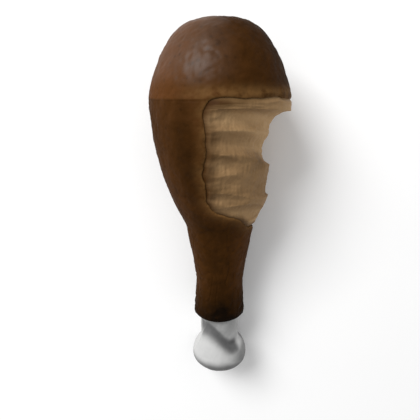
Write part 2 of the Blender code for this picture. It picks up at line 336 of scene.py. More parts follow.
@dataclass(frozen=True)
class BarePatch:
    """The patch on the bitten side where the skin is torn away: a superellipse with a wavy rim.

    Attributes:
        angle: angle of its middle.
        half_angle: how far it reaches either way round the leg.
        along: station of its middle.
        half_upper: how far it reaches up the leg.
        half_lower: how far it reaches down the leg at the bitten side.
        lower_lean: share by which that is less on the shown side.
        corner_upper: squareness of its upper corners.
        corner_lower: squareness of its lower corners.
        waves: count, size and phase of each wave of the rim.
    """

    angle: float = math.radians(24.0)
    half_angle: float = math.radians(79.0)
    along: float = 22.5 * MM
    half_upper: float = 23.4 * MM
    half_lower: float = 24.3 * MM
    lower_lean: float = 0.30
    corner_upper: float = 9.0
    corner_lower: float = 6.0
    waves: tuple[Triple, ...] = (
        (5, 0.022, 0.4),
        (9, 0.014, 2.1),
        (14, 0.008, 1.0),
        (27, 0.004, 0.2),
        (46, 0.003, 1.7),
    )

    def reach(self, along: Array, angle: Array) -> Array:
        """Where a place lies in the patch: (|u|^n + |v|^n)^(1/n), over 1 plus the rim's waves.

        Args:
            along: stations.
            angle: angles, in radians.

        Returns:
            0 at the middle, 1 on the torn rim and more outside.
        """
        across = (angle - self.angle) / self.half_angle
        lower = along > self.along
        lean = 1.0 - self.lower_lean * np.maximum(0.0, np.sin(angle)) ** 2
        down = (along - self.along) / np.where(lower, self.half_lower * lean, self.half_upper)
        corner = np.where(lower, self.corner_lower, self.corner_upper)
        reach = (np.abs(across) ** corner + np.abs(down) ** corner) ** (1.0 / corner)
        turn = np.arctan2(down, across)
        wave = sum(size * np.sin(count * turn + phase) for count, size, phase in self.waves)
        return reach / (1.0 + wave)

    def distance(self, along: Array, angle: Array, radius: Array) -> Array:
        """Rough distance to the torn rim: what reach lacks from 1, over its own slope.

        Args:
            along: stations.
            angle: angles, in radians.
            radius: distances from the axis.

        Returns:
            Metres, positive outside the patch.
        """
        step = 0.05 * MM
        here = self.reach(along, angle)
        down = (self.reach(along + step, angle) - here) / step
        turned = (self.reach(along, angle + step / np.maximum(radius, MM)) - here) / step
        return (here - 1.0) / np.maximum(np.hypot(down, turned), 1.0)


@dataclass(frozen=True)
class Furrow:
    """A scoop that the teeth left, across the bite.

    Attributes:
        row: its row, in millimetres.
        middle: angle where it is deepest, in degrees.
        half_length: how far it reaches up and down the leg, in millimetres.
        to_front: how far it reaches towards the shown side, in degrees.
        to_back: how far it reaches the other way, in degrees.
        depth: its depth, in millimetres.
        soft_from: angle from which its edges grow softer, in degrees.
        soft_over: angle over which they do, in degrees.
    """

    row: float
    middle: float
    half_length: float
    to_front: float
    to_back: float
    depth: float
    soft_from: float = 35.0
    soft_over: float = 45.0

    def section(self, row: Array, angle: Array) -> tuple[Array, Array]:
        """Depth of the furrow, and the place across it.

        The section is (1 - v^2)^p, where p rises from a half, which is half an ellipse, at the
        bitten side to 1.5, which has soft edges, at the shown side. The depth falls as 1 - v^2
        towards the furrow's ends, and the width as the root of that.

        Args:
            row: rows.
            angle: angles, in radians.

        Returns:
            The depth in metres, and a number from -1 at the upper edge to 1 at the lower edge.
        """
        degrees = np.degrees(angle)
        down = (row / MM - self.row) / self.half_length
        turned = degrees - self.middle
        across = turned / np.where(turned > 0.0, self.to_front, self.to_back)
        taper = np.clip(1.0 - across**2, 0.0, 1.0)
        place = np.clip(down / np.sqrt(np.maximum(taper, 1e-3)), -1.0, 1.0)
        power = 0.5 + rise(degrees, self.soft_from, self.soft_over)
        return self.depth * MM * taper * (1.0 - place**2) ** power, place


@dataclass(frozen=True)
class Bite:
    """The bite: furrows side by side, on rows that climb the leg towards the shown side.

    Attributes:
        furrows: the furrows.
        rows_start: station where the rows begin to lean.
        rows_end: station where they are level again.
        rows_ease: over how much length they ease in and out.
        lean: how much the rows lean, so that a furrow lies in an upright plane.
        climb_upper: how much more the upper rows climb over the shown side.
        climb_lower: the same for the lower rows.
        climb_change: rows between which one becomes the other.
        sharpness: how sharp the ridges between furrows are.
        tone_sharpness: how sharply one furrow's tone gives way to the next one's.
    """

    furrows: tuple[Furrow, ...] = (
        Furrow(10.3, 0.0, 6.2, 114.0, 62.0, 6.8),
        Furrow(17.1, 0.0, 6.8, 111.0, 60.0, 7.9),
        Furrow(21.5, 15.0, 11.4, 75.0, 70.0, 3.5),
        Furrow(24.0, 100.0, 3.9, 60.0, 62.0, 2.4),
        Furrow(29.6, 25.0, 5.2, 85.0, 75.0, 2.4),
        Furrow(35.5, 96.0, 3.0, 60.0, 42.0, 1.4),
        Furrow(40.2, 62.0, 3.4, 50.0, 50.0, 1.5),
    )
    rows_start: float = -1.0 * MM
    rows_end: float = 50.0 * MM
    rows_ease: float = 10.0 * MM
    lean: float = 0.13
    climb_upper: float = 0.08
    climb_lower: float = 0.05
    climb_change: tuple[float, float] = (22.0 * MM, 30.0 * MM)
    sharpness: float = 8.0
    tone_sharpness: float = 2.5

    def station(self, form: LegForm, row: Array, angle: Array) -> Array:
        """Station of a row: row - r (lean sin a + climb sin^3 a), eased in and out.

        Args:
            form: the leg's form.
            row: rows.
            angle: angles, in radians.

        Returns:
            The station at each place.
        """
        first, last = self.climb_change
        climb = self.climb_upper + (self.climb_lower - self.climb_upper) * rise(row, first, last - first)
        slant = self.lean * np.sin(angle) + climb * np.maximum(0.0, np.sin(angle)) ** 3
        ease = rise(row, self.rows_start, self.rows_ease) * fall(row, self.rows_end, self.rows_ease)
        return row - slant * ease * form.profile(row)

    def carve(self, row: Array, angle: Array) -> tuple[Array, Array]:
        """Depth of the bite, and the tone that each place has across its furrow.

        The depth is the p-norm of the furrows' depths, which is the deepest with its ridges
        rounded off. The place is their mean, weighed by a lower power of the depths.

        Args:
            row: rows.
            angle: angles, in radians.

        Returns:
            The depth in metres, and a place from -1 at an upper edge to 1 at a lower edge.
        """
        sections = [furrow.section(row, angle) for furrow in self.furrows]
        depths = np.stack([depth for depth, _ in sections])
        places = np.stack([place for _, place in sections])
        deepest = np.maximum(depths.max(axis=0), TINY)
        shares = depths / deepest
        depth = deepest * (shares**self.sharpness).sum(axis=0) ** (1.0 / self.sharpness)
        weights = shares**self.tone_sharpness
        return depth, (weights * places).sum(axis=0) / np.maximum(weights.sum(axis=0), TINY)


@dataclass(frozen=True)
class Lattice:
    """A triangle mesh over leg coordinates, before it has a shape.

    Attributes:
        along: the station or row of each vertex.
        angle: the angle of each vertex, in radians.
        faces: three vertices a face, anticlockwise from outside.
    """

    along: Array
    angle: Array
    faces: Array

    @staticmethod
    def woven(stations: Array, columns: Array, top: float | None, end: float | None) -> "Lattice":
        """A grid all the way round, with poles where they are asked for.

        Args:
            stations: station of each ring, down the leg.
            columns: angle of each column, rising, less than a full turn in all.
            top: station of a pole above the first ring.
            end: station of a pole below the last ring.

        Returns:
            The lattice.
        """
        rings, count = len(stations), len(columns)
        index = np.arange(rings * count).reshape(rings, count)
        after = np.roll(index, -1, axis=1)
        upper, upper_after = index[:-1].ravel(), after[:-1].ravel()
        lower, lower_after = index[1:].ravel(), after[1:].ravel()
        faces = [
            np.stack([upper, upper_after, lower_after], axis=1),
            np.stack([upper, lower_after, lower], axis=1),
        ]
        along = np.repeat(stations, count)
        angle = np.tile(columns, rings)
        if top is not None:
            faces.append(np.stack([np.full(count, len(along)), after[0], index[0]], axis=1))
            along, angle = np.append(along, top), np.append(angle, columns[0])
        if end is not None:
            faces.append(np.stack([index[-1], after[-1], np.full(count, len(along))], axis=1))
            along, angle = np.append(along, end), np.append(angle, columns[0])
        return Lattice(along, angle, np.concatenate(faces))

    def trimmed(self, level: Array) -> "Lattice":
        """Cuts away the part where level is below 0, along straight lines across the faces.

        A cut stays a small share of an edge away from its ends, so that no face is a sliver.

        Args:
            level: a number for each vertex.

        Returns:
            The lattice that is left, with new vertices where its edges cross 0.
        """
        count = len(self.along)
        inside = level[self.faces] > 0.0
        kept = inside.sum(axis=1)
        odd = np.where(kept == 1, inside.argmax(axis=1), (~inside).argmax(axis=1))
        order = (odd[:, None] + np.arange(3)) % 3
        turned = np.take_along_axis(self.faces, order, axis=1)
        crossed = (kept == 1) | (kept == 2)
        first, second, third = turned[crossed].T
        pairs = np.concatenate([np.stack([first, second], 1), np.stack([first, third], 1)])
        edges, back = np.unique(np.sort(pairs, axis=1), axis=0, return_inverse=True)
        low, high = edges.T
        share = np.clip(level[low] / (level[low] - level[high]), CUT_MARGIN, 1.0 - CUT_MARGIN)
        along = np.append(self.along, self.along[low] + share * (self.along[high] - self.along[low]))
        angle = np.append(self.angle, self.angle[low] + share * (self.angle[high] - self.angle[low]))
        to_second, to_third = count + back.reshape(2, -1)
        single = kept[crossed] == 1
        double = ~single
        faces = np.concatenate([
            self.faces[kept == 3],
            np.stack([first, to_second, to_third], 1)[single],
            np.stack([to_second, second, third], 1)[double],
            np.stack([to_second, third, to_third], 1)[double],
        ])
        used, renumbered = np.unique(faces, return_inverse=True)
        return Lattice(along[used], angle[used], renumbered.reshape(-1, 3))


def closed_shell(outside: Array, inside: Array, faces: Array) -> tuple[Array, Array]:
    """Joins an outer and an inner surface into one closed shell.

    Args:
        outside: points of the outer surface.
        inside: points of the inner surface, one below each outer point.
        faces: faces of the outer surface.

    Returns:
        The points and faces of the shell: the outer faces, the inner ones turned round, and two
        faces over each edge that only one face has.
    """
    count = len(outside)
    ends = np.concatenate([faces[:, [0, 1]], faces[:, [1, 2]], faces[:, [2, 0]]])
    key, reverse = ends[:, 0] * count + ends[:, 1], ends[:, 1] * count + ends[:, 0]
    start, stop = ends[~np.isin(key, reverse)].T
    rim = np.concatenate([
        np.stack([stop, start, start + count], axis=1),
        np.stack([stop, start + count, stop + count], axis=1),
    ])
    everything = np.concatenate([faces, faces[:, ::-1] + count, rim])
    return np.concatenate([outside, inside]), everything


def add_piece(
    name: str, points: Array, faces: Array, marks: dict[str, Array], material: bpy.types.Material
) -> bpy.types.Object:
    """Makes an object from arrays, with its place in its mesh.

    Args:
        name: the piece's name.
        points: its vertices, in the row frame.
        faces: its triangles.
        marks: a number for each vertex, under the name of the attribute that holds it.
        material: its finish.

    Returns:
        The object.
    """
    mesh = bpy.data.meshes.new(name)
    mesh.from_pydata(points.tolist(), [], faces.tolist())
    mesh.shade_smooth()
    mesh.materials.append(material)
    for mark, values in marks.items():
        layer = mesh.attributes.new(mark, "FLOAT", "POINT")
        layer.data.foreach_set("value", np.ascontiguousarray(values, np.float32))
    piece = bpy.data.objects.new(name, mesh)
    bpy.context.scene.collection.objects.link(piece)
    return piece


class Sum(Enum):
    """What a Math node does with its two values."""

    ADD = "ADD"
    TAKE_AWAY = "SUBTRACT"
    MULTIPLY = "MULTIPLY"


class Signal:
    """A number that changes over a surface, as an output socket, with arithmetic."""

    def __init__(self, shader: "Shader", socket: bpy.types.NodeSocket) -> None:
        """Wraps an output socket of a shader."""
        self.shader = shader
        self.socket = socket

    def combine(self, kind: Sum, first: "Signal | float", second: "Signal | float") -> "Signal":
        """Adds one Math node, whose values are numbers or signals."""
        made = self.shader.node("ShaderNodeMath", {"operation": kind.value}, {0: first, 1: second})
        return Signal(self.shader, made.outputs[0])

    def __add__(self, other: "Signal | float") -> "Signal":
        """The sum."""
        return self.combine(Sum.ADD, self, other)

    def __radd__(self, other: float) -> "Signal":
        """The sum, with a number first."""
        return self.combine(Sum.ADD, other, self)

    def __sub__(self, other: "Signal | float") -> "Signal":
        """The difference."""
        return self.combine(Sum.TAKE_AWAY, self, other)

    def __rsub__(self, other: float) -> "Signal":
        """The difference, with a number first."""
        return self.combine(Sum.TAKE_AWAY, other, self)

    def __mul__(self, other: "Signal | float") -> "Signal":
        """The product."""
        return self.combine(Sum.MULTIPLY, self, other)

    def __rmul__(self, other: float) -> "Signal":
        """The product, with a number first."""
        return self.combine(Sum.MULTIPLY, other, self)

    def eased(self, low: float, high: float) -> "Signal":
        """Eases from 0 at low to 1 at high.

        Args:
            low: the value that becomes 0.
            high: the value that becomes 1.

        Returns:
            The eased signal.
        """
        made = self.shader.node(
            "ShaderNodeMapRange",
            {"interpolation_type": "SMOOTHSTEP"},
            {"Value": self, "From Min": low, "From Max": high},
        )
        return Signal(self.shader, made.outputs["Result"])


class Shader:
    """The material of one finish, and the nodes that it is made of."""

    def __init__(self, name: str) -> None:
        """Makes a material with one Principled shader.

        Args:
            name: the material's name.
        """
        self.material = bpy.data.materials.new(name)
        self.material.use_nodes = True
        self.tree = self.material.node_tree
        self.surface = self.tree.nodes["Principled BSDF"]
        self.place = self.node("ShaderNodeTexCoord", {}, {}).outputs["Object"]

    def node(self, kind: str, settings: dict, inputs: dict) -> bpy.types.Node:
        """Makes any node.

        Args:
            kind: the node's type.
            settings: the node's own settings, which are set first. "stops" are a ramp's places
                and colours.
            inputs: a value, a signal or a socket for each socket, by name or number.

        Returns:
            The node.
        """
        made = self.tree.nodes.new(kind)
        for name, value in settings.items():
            if name == "stops":
                self.set_stops(made.color_ramp, value)
            else:
                setattr(made, name, value)
        for name, value in inputs.items():
            self.feed(made.inputs[name], value)
        return made

    def set_stops(self, ramp: bpy.types.ColorRamp, stops: list[tuple[float, Colour]]) -> None:
        """Gives a ramp its stops.

        Args:
            ramp: the ramp, which starts with two stops.
            stops: a place and a colour for each.
        """
        while len(ramp.elements) < len(stops):
            ramp.elements.new(1.0)
        for element, (position, colour) in zip(ramp.elements, stops):
            element.position = position
            element.color = (*colour, 1.0)

    def feed(self, socket: bpy.types.NodeSocket, value: object) -> None:
        """Sets a socket to a value, or links it to what a signal or a socket gives.

        Args:
            socket: the input socket.
            value: a number, a colour, a signal or an output socket.
        """
        if isinstance(value, Signal):
            self.tree.links.new(value.socket, socket)
        elif isinstance(value, bpy.types.NodeSocket):
            self.tree.links.new(value, socket)
        elif isinstance(value, tuple) and len(value) == 3 and socket.type == "RGBA":
            socket.default_value = (*value, 1.0)
        else:
            socket.default_value = value

    def mark(self, name: str) -> Signal:
        """The number that the mesh holds under a name."""
        made = self.node("ShaderNodeAttribute", {"attribute_name": name}, {})
        return Signal(self, made.outputs["Fac"])

    def stretched(self, stretch: Triple) -> bpy.types.NodeSocket:
        """Object coordinates, with patterns made longer along X, Y and Z by these numbers."""
        inputs = {"Vector": self.place, "Scale": tuple(1.0 / share for share in stretch)}
        return self.node("ShaderNodeMapping", {}, inputs).outputs["Vector"]

    def noise(self, size: float, detail: float, stretch: Triple = (1.0, 1.0, 1.0)) -> Signal:
        """Clouds about 0.5, by their size in metres, their count of finer layers and their stretch."""
        inputs = {"Vector": self.stretched(stretch), "Scale": 1.0 / size, "Detail": detail}
        return Signal(self, self.node("ShaderNodeTexNoise", {}, inputs).outputs["Fac"])

    def cells(self, size: float) -> Signal:
        """Distance to the nearest of scattered points, without sharp edges between them.

        Args:
            size: usual distance between points, in metres.

        Returns:
            0 on a point, and about 0.5 between points.
        """
        inputs = {"Vector": self.place, "Scale": 1.0 / size}
        made = self.node("ShaderNodeTexVoronoi", {"feature": "SMOOTH_F1"}, inputs)
        return Signal(self, made.outputs["Distance"])

    def mix(self, share: Signal | float, under: object, over: object) -> bpy.types.NodeSocket:
        """Lays the upper colour over the lower one by a share, and gives the mixture's socket."""
        made = self.node("ShaderNodeMix", {"data_type": "RGBA"}, {0: share, 6: under, 7: over})
        return made.outputs[2]

    def relief(self, height: Signal, depth: float) -> None:
        """Gives the surface fine relief: a height from 0 to 1, and what 1 means in metres."""
        made = self.node("ShaderNodeBump", {}, {"Height": height, "Distance": depth})
        self.feed(self.surface.inputs["Normal"], made.outputs["Normal"])

    def coat(self, colour: object, roughness: object, sheen_level: float) -> None:
        """Sets the surface's colour, roughness and how strongly it mirrors.

        Args:
            colour: the base colour.
            roughness: the roughness.
            sheen_level: the specular level, the same all over.
        """
        self.feed(self.surface.inputs["Base Color"], colour)
        self.feed(self.surface.inputs["Roughness"], roughness)
        self.surface.inputs["Specular IOR Level"].default_value = sheen_level

    def grease(self, weight: Signal, roughness: float) -> None:
        """Lays a clear greasy coat over the surface, with one roughness all over."""
        self.feed(self.surface.inputs["Coat Weight"], weight)
        self.surface.inputs["Coat Roughness"].default_value = roughness


@dataclass(frozen=True)
class BrownedSkinFinish:
    """Roasted skin: mottled browns, darker towards the ankle, with painted shade on the crown's right
    side and beside and under the bite, and a greasy gloss.

    Attributes:
        golden: the lightest brown, on the crown.
        brown: a middling brown.
        umber: the usual brown of flank and shank.
        dark: the darkest brown.
        char: the colour of the cuff's edge.
        yellow: the tint of the fat that shows by the fold and on the tear's rim, and of the painted
            light on the rim's very edge.
    """

    golden: Colour = linear(86, 51, 22)
    brown: Colour = linear(72, 43, 16)
    umber: Colour = linear(55, 31, 6)
    dark: Colour = linear(38, 20, 2)
    char: Colour = linear(14, 6, 1)
    yellow: Colour = linear(110, 79, 44)

    def material(self) -> bpy.types.Material:
        """Builds the material. It reads the marks "browning_and_shade", "fat_and_painted_light" and
        "greasy" of its piece.

        Returns:
            The material.
        """
        shader = Shader("browned_skin")
        clouds = shader.noise(size=14.0 * MM, detail=3.0)
        mottle = shader.noise(size=3.2 * MM, detail=4.0)
        # browning_and_shade holds real browning and painted shade: the crown's darker right side and the
        # spots by the bite.
        browning_and_shade = shader.mark("browning_and_shade") + 0.28 * (clouds - 0.5) + 0.34 * (mottle - 0.5)
        browns = [self.golden, self.brown, self.umber, self.dark, self.char]
        stops = list(zip([0.0, 0.3, 0.55, 0.8, 1.0], browns))
        ramp = shader.node("ShaderNodeValToRGB", {"stops": stops}, {"Fac": browning_and_shade})
        freckles = 1.0 - shader.cells(size=2.1 * MM).eased(0.10, 0.34)
        freckles = 0.4 * freckles * mottle.eased(0.45, 0.62)
        colour = shader.mix(freckles, ramp.outputs["Color"], self.dark)
        # Yellow fat, and painted light on the tear's very edge.
        colour = shader.mix(shader.mark("fat_and_painted_light") * mottle.eased(0.2, 0.6), colour, self.yellow)
        shader.coat(colour, roughness=0.52 + 0.2 * clouds + 0.12 * mottle, sheen_level=0.03)
        shader.grease(shader.mark("greasy") * (0.6 + 0.8 * mottle), roughness=0.44)
        pores = shader.cells(size=1.5 * MM).eased(0.05, 0.45)
        grain = shader.noise(size=0.7 * MM, detail=3.0)
        shader.relief(0.55 * pores + 0.45 * grain, depth=0.13 * MM)
        return shader.material


@dataclass(frozen=True)
class CookedMeatFinish:
    """Cooked dark meat: tan, with paler and darker bands across the bite, partly painted light and shade
    on the furrows' walls, brown stains by the skin, and painted shade below the skin's upper edge.

    Attributes:
        pale: the colour of the lightest bands, partly painted light on the furrows' floors.
        tan: the usual colour.
        dark_meat_and_shade: painted shade on the furrows' upper walls and in their hollows, and the
            darker meat on the left of the shelf.
        stain_and_shade: the colour of the stains next to the skin, and of the painted shade just below
            its upper edge.
    """

    pale: Colour = linear(182, 149, 108)
    tan: Colour = linear(140, 111, 77)
    dark_meat_and_shade: Colour = linear(100, 76, 48)
    stain_and_shade: Colour = linear(60, 35, 8)

    def material(self) -> bpy.types.Material:
        """Builds the material. It reads the marks "tone" and "stain_and_shade" of its piece; both hold
        painted shade, and tone painted light too, besides the meat's own colour.

        Returns:
            The material.
        """
        shader = Shader("cooked_meat")
        fibres = shader.noise(size=0.9 * MM, detail=3.0, stretch=(1.0, 7.0, 1.0))
        streaks = shader.noise(size=1.4 * MM, detail=3.0, stretch=(6.0, 1.0, 6.0))
        clouds = shader.noise(size=7.0 * MM, detail=2.0)
        tone = shader.mark("tone") + 0.24 * (streaks - 0.5) + 0.20 * (fibres - 0.5)
        # Low tone is painted shade on the furrows' upper walls; high tone is partly painted light on
        # their floors.
        colour = shader.mix(tone.eased(-0.1, 0.5), self.dark_meat_and_shade, self.tan)
        colour = shader.mix(tone.eased(0.4, 1.1), colour, self.pale)
        stain_and_shade = shader.mark("stain_and_shade") + 0.5 * (clouds - 0.5) + 0.3 * (streaks - 0.5)
        # Brown stains by the skin, and painted shade below its upper edge.
        colour = shader.mix(stain_and_shade.eased(0.1, 0.9), colour, self.stain_and_shade)
        shader.coat(colour, roughness=0.46 + 0.2 * clouds + 0.1 * fibres, sheen_level=0.07)
        shader.relief(0.5 * fibres + 0.5 * streaks, depth=0.18 * MM)
        return shader.material


@dataclass(frozen=True)
class CleanBoneFinish:
    """Clean cooked bone: pale grey, a little warmer by the meat, with painted shade by the crease, on
    the shaft and on the knob's right side and end.

    Attributes:
        pale: the usual colour.
        grey: the colour of the painted shade by the crease, on the shaft and on the knob's right side
            and end.
        warm: the colour near the meat.
    """

    pale: Colour = linear(190, 190, 189)
    grey: Colour = linear(90, 90, 90)
    warm: Colour = linear(120, 106, 92)

    def material(self) -> bpy.types.Material:
        """Builds the material. It reads the marks "hollow", which is painted shade, and "meaty" of its
        piece.

        Returns:
            The material.
        """
        shader = Shader("clean_bone")
        clouds = shader.noise(size=5.0 * MM, detail=3.0)
        grain = shader.noise(size=0.8 * MM, detail=2.0, stretch=(1.0, 4.0, 1.0))
        # The hollow mark is painted shade that greys the bone.
        hollow = shader.mark("hollow") + 0.4 * (clouds - 0.5)
        colour = shader.mix(hollow.eased(0.0, 1.0), self.pale, self.grey)
        meaty = shader.mark("meaty") + 0.5 * (clouds - 0.5)
        colour = shader.mix(meaty.eased(0.2, 1.1), colour, self.warm)
        shader.coat(colour, roughness=0.38 + 0.2 * clouds, sheen_level=0.25)
        shader.relief(0.5 * clouds + 0.5 * grain, depth=0.08 * MM)
        return shader.material


@dataclass(frozen=True)
class PaleFloorFinish:
    """The floor's faint clouds.

    Attributes:
        light: the lighter colour.
        dim: the darker one.
    """

    light: Colour = linear(250, 250, 250)
    dim: Colour = linear(246, 246, 246)

    def material(self) -> bpy.types.Material:
        """Builds the material.

        Returns:
            The material.
        """
        shader = Shader("pale_floor")
        clouds = shader.noise(size=60.0 * MM, detail=2.0)
        shader.coat(shader.mix(clouds, self.light, self.dim), roughness=0.7, sheen_level=0.1)
        return shader.material


@dataclass(frozen=True)
class Wrinkles:
    """Thin creases in the skin, deeper on the shank than on the crown.

    Attributes:
        waves: the field whose zero lines they follow.
        width: how far from 0 the field counts as a line.
        crown_depth: their depth on the crown, in millimetres.
        shank_depth: what the shank adds to it, in millimetres.
    """

    waves: Unevenness
    width: float
    crown_depth: float
    shank_depth: float

    def depth(self, points: Array, wrinkled: Array) -> Array:
        """Depth at local points, by how wrinkled the skin is there, from 0 to 1."""
        return (self.crown_depth + self.shank_depth * wrinkled) * self.waves.creases(points, self.width)


@dataclass
class Skin:
    """The browned skin: a shell over crown, flank and shank with the torn hole in its side.

    Attributes:
        form: the leg's form.
        patch: the torn hole.
        columns: how many columns it has all round.
        first_column: angle of the first one.
        crown_rings: rings over the crown.
        calf_rings: rings from the widest ring to the cuff.
        cuff_rings: rings over the cuff's rounded end.
        cuff_round: how long that end is.
        lift: how far the whole surface stays inside its solid.
        cuff_rounding: how far from the cuff's end the skin begins to round off.
        tear_rounding: how far from the tear it begins to thin out.
        lip: thickness that is left at an edge.
        pale_rim: how wide the paler rim of the tear is.
        painted_light_edge: how wide the painted light on the tear's very edge is, which lifts the lip's
            shadow.
        deepest: how deep the relief may go.
        usual_depth: depth that the relief goes out from, in millimetres.
        bumps: soft bumps, in millimetres.
        wrinkles: the creases.
        fold_row: where the fold below the crown begins, in millimetres.
        fold_depth: its depth, in millimetres.
        fold_fade: how far down it fades out, in millimetres.
        shank_hollow: the hollow down the shank, in millimetres.
        puckers: waves round the cuff.
        pucker_depth: their depth, in millimetres.
        pole_reach: how far from the crown's top the painted shade on its right side begins.
        darkest_angle: angle where the painted shade on the crown is darkest.
        shade_spots: painted shade beside and under the bite, as darker skin.
        gloss_angle: middle of the greasy patch on the crown.
    """

    form: LegForm
    patch: BarePatch
    columns: int = 256
    first_column: float = math.radians(-156.0)
    crown_rings: int = 66
    calf_rings: int = 132
    cuff_rings: int = 5
    cuff_round: float = 0.8 * MM
    lift: float = 0.10 * MM
    cuff_rounding: float = 0.9 * MM
    tear_rounding: float = 1.7 * MM
    lip: float = 0.20 * MM
    pale_rim: float = 2.4 * MM
    painted_light_edge: float = 0.45 * MM
    deepest: float = 0.6 * MM
    usual_depth: float = 0.09
    bumps: tuple[Unevenness, ...] = (Unevenness(7.0 * MM, 11, 0.08), Unevenness(2.6 * MM, 12, 0.045))
    wrinkles: tuple[Wrinkles, ...] = (
        Wrinkles(Unevenness(7.0 * MM, 13, stretch=(1.0, 2.4, 1.0)), 0.16, 0.09, 0.14),
        Wrinkles(Unevenness(3.4 * MM, 14, stretch=(1.0, 0.8, 1.0)), 0.20, 0.03, 0.06),
    )
    fold_row: float = -0.9
    fold_depth: float = 0.34
    fold_fade: float = 7.0
    shank_hollow: Spot = Spot(along=55.0, length=16.0, angle=101.0, spread=16.0, amount=0.45)
    puckers: Unevenness = Unevenness(2.2 * MM, 15, stretch=(3.0, 1.0, 3.0))
    pucker_depth: float = 0.16
    pole_reach: float = 13.0 * MM
    darkest_angle: float = math.radians(10.0)
    # Painted shade: darker skin beside and under the bite.
    shade_spots: tuple[Spot, ...] = (
        Spot(along=20.0, length=20.0, angle=118.0, spread=11.0, amount=0.26),
        Spot(along=44.0, length=5.0, angle=100.0, spread=22.0, amount=0.12),
    )
    gloss_angle: float = math.radians(124.0)

    def lattice(self) -> Lattice:
        """The trimmed grid: rings closer together where the cuff rounds off.

        Returns:
            The lattice, without the part inside the torn hole.
        """
        form = self.form
        turn = np.linspace(0.0, math.pi / 2, self.crown_rings + 2)[1:-1]
        crown = -form.crown_height * np.cos(turn) ** (2.0 / form.crown_power)
        calf = np.linspace(0.0, form.cuff_end - self.cuff_round, self.calf_rings)
        turn = np.linspace(0.0, math.pi / 2, self.cuff_rings + 1)[1:]
        stations = np.concatenate([crown, calf, form.cuff_end - self.cuff_round * np.cos(turn)])
        columns = self.first_column + np.arange(self.columns) * TURN / self.columns
        whole = Lattice.woven(stations, columns, -form.crown_height, None)
        return whole.trimmed(self.patch.reach(whole.along, whole.angle) - 1.0)

    def relief(self, points: Array, along: Array, angle: Array) -> Array:
        """How deep the surface lies under the smooth form.

        Args:
            points: local points of the smooth form.
            along: stations.
            angle: angles, in radians.

        Returns:
            Soft bumps, creases over flank and shank, the fold below the crown, a hollow down the
            shank and puckers at the cuff, added up.
        """
        down = along / MM
        bumps = sum(waves.at(points) for waves in self.bumps)
        wrinkled = rise(down, start=26.0, length=30.0)
        wrinkles = sum(each.depth(points, wrinkled) for each in self.wrinkles)
        fold = self.fold_depth * rise(down, start=self.fold_row, length=1.5)
        fold = fold * np.exp(-np.maximum(down - self.fold_row, 0.0) / self.fold_fade)
        hollow = self.shank_hollow.at(down, np.degrees(angle))
        near_cuff = rise(down, start=74.0, length=8.0)
        puckers = self.pucker_depth * near_cuff * (1.0 + self.puckers.at(points))
        return np.maximum(self.usual_depth + bumps + wrinkles + fold + hollow + puckers, 0.0) * MM

    def browning_and_shade(self, points: Array, along: Array, angle: Array) -> Array:
        """How brown the skin is, from 0 to 1, with painted shade added to the browning.

        Args:
            points: local points of the smooth form.
            along: stations.
            angle: angles, in radians.

        Returns:
            Light on the left of the crown and darker right of it as painted shade, darker below the
            fold and down the middle of the shank, painted shade beside and under the bite, and darkest
            at the cuff.
        """
        down, degrees = along / MM, np.degrees(angle)
        off_axis = smooth_step(np.hypot(points[..., 0], points[..., 2]) / self.pole_reach)
        # Painted shade: the crown is darker on its right side, away from the light.
        to_right = smooth_step(0.5 + 0.5 * off_axis * np.cos(angle - self.darkest_angle))
        crown = 0.08 + 0.55 * to_right
        ankle = rise(down, start=62.0, length=24.0)
        middle = hump(degrees, middle=88.0, width=34.0) * rise(down, start=36.0, length=14.0)
        right = hump(degrees, middle=42.0, width=20.0) * rise(down, start=44.0, length=6.0)
        flank = 0.42 + 0.19 * middle + 0.48 * ankle**1.5 - 0.14 * right * (1.0 - ankle)
        # Painted shade beside and under the bite.
        spots = sum(spot.at(down, degrees) for spot in self.shade_spots)
        return crown + (flank + spots - crown) * rise(down, start=-1.2, length=0.8)

    def fat_and_painted_light(self, along: Array, angle: Array, distance: Array) -> Array:
        """Where yellow fat shows, along the crown's lower edge above the bite and on the tear's rim,
        with painted light on the rim's very edge.

        Args:
            along: stations.
            angle: angles, in radians.
            distance: distances to the tear.

        Returns:
            1 where it is clearest and 0 where there is none.
        """
        down, degrees = along / MM, np.degrees(angle)
        strip = 0.7 * hump(down, middle=-2.2, width=2.2) * (down < self.fold_row)
        strip = strip * rise(degrees, start=-60.0, length=30.0) * fall(degrees, end=125.0, length=30.0)
        # The narrow bell is painted light that lifts the shadow of the tear's lip.
        rim = 0.42 * bell(distance / self.pale_rim) + 0.58 * bell(distance / self.painted_light_edge)
        return np.maximum(strip, rim)

    def greasy(self, along: Array, angle: Array) -> Array:
        """How much grease lies on the skin: most in a patch on the left of the crown."""
        to_left = rise(np.cos(angle - self.gloss_angle), start=0.55, length=0.40)
        return 0.02 + 0.36 * to_left * fall(along / MM, end=-3.5, length=8.0)

